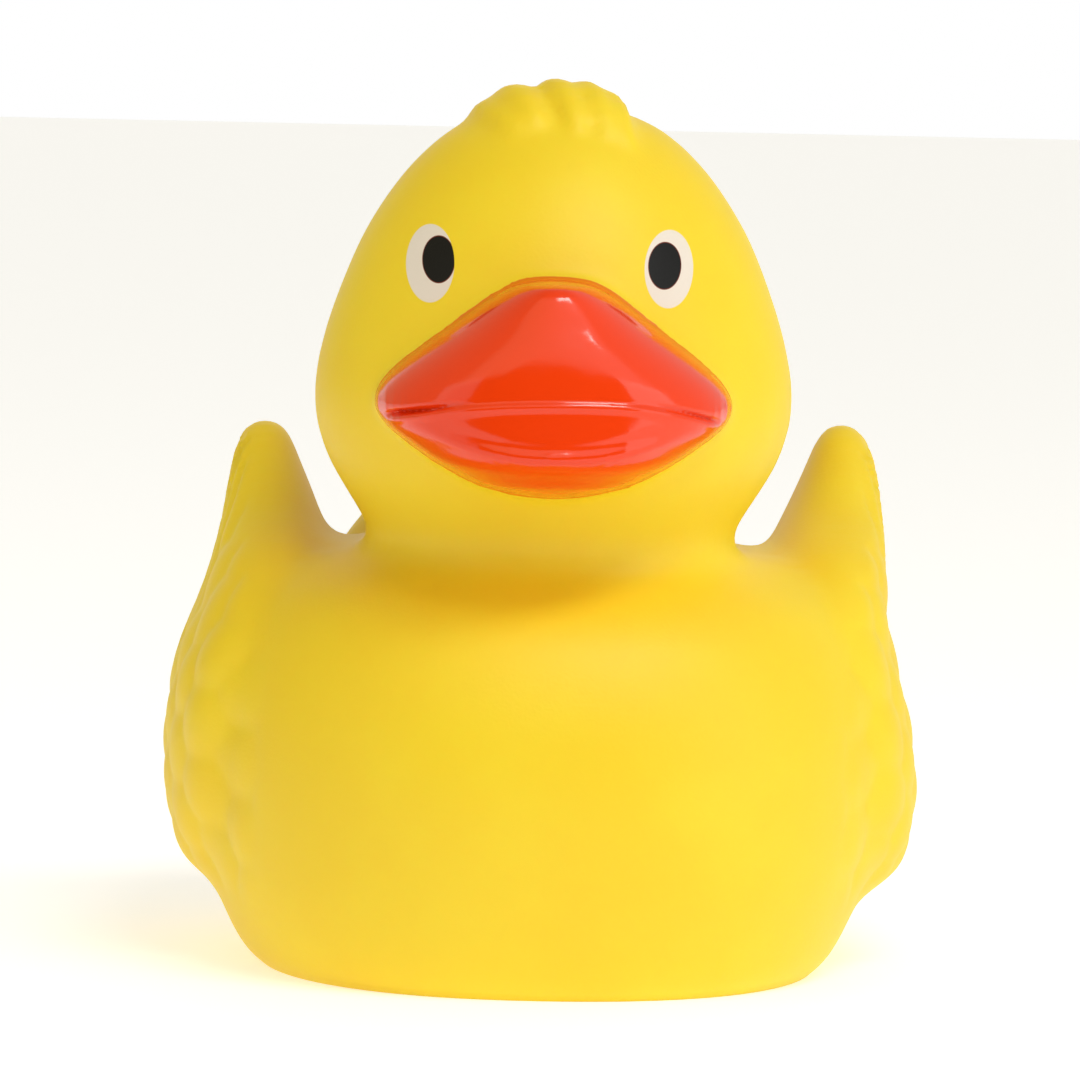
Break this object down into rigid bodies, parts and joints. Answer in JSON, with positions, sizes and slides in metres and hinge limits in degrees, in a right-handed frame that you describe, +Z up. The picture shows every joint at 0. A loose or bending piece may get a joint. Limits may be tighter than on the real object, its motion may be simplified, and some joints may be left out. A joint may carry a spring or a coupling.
{
  "type": "rubber duck",
  "caption": "Yellow bath duck with raised wing tips, an orange bill and printed eyes, and a squeaker in its flat base.",
  "frame": {"origin": "centre of the bounding box on the plane of the flat base", "axes": "-Y is the way the duck faces, +X is its left side, +Z is up"},
  "size_m": [0.0731, 0.0783, 0.0851],
  "materials": {
    "vinyl": "satin soft vinyl, with gloss orange-red paint on the bill and printed eyes",
    "cup_plastic": "moulded",
    "block_plastic": "moulded"
  },
  "bodies": {
    "root": {"duck_body": "vinyl", "squeaker_cup": "cup_plastic", "squeaker_block": "block_plastic"}
  },
  "joints": []
}
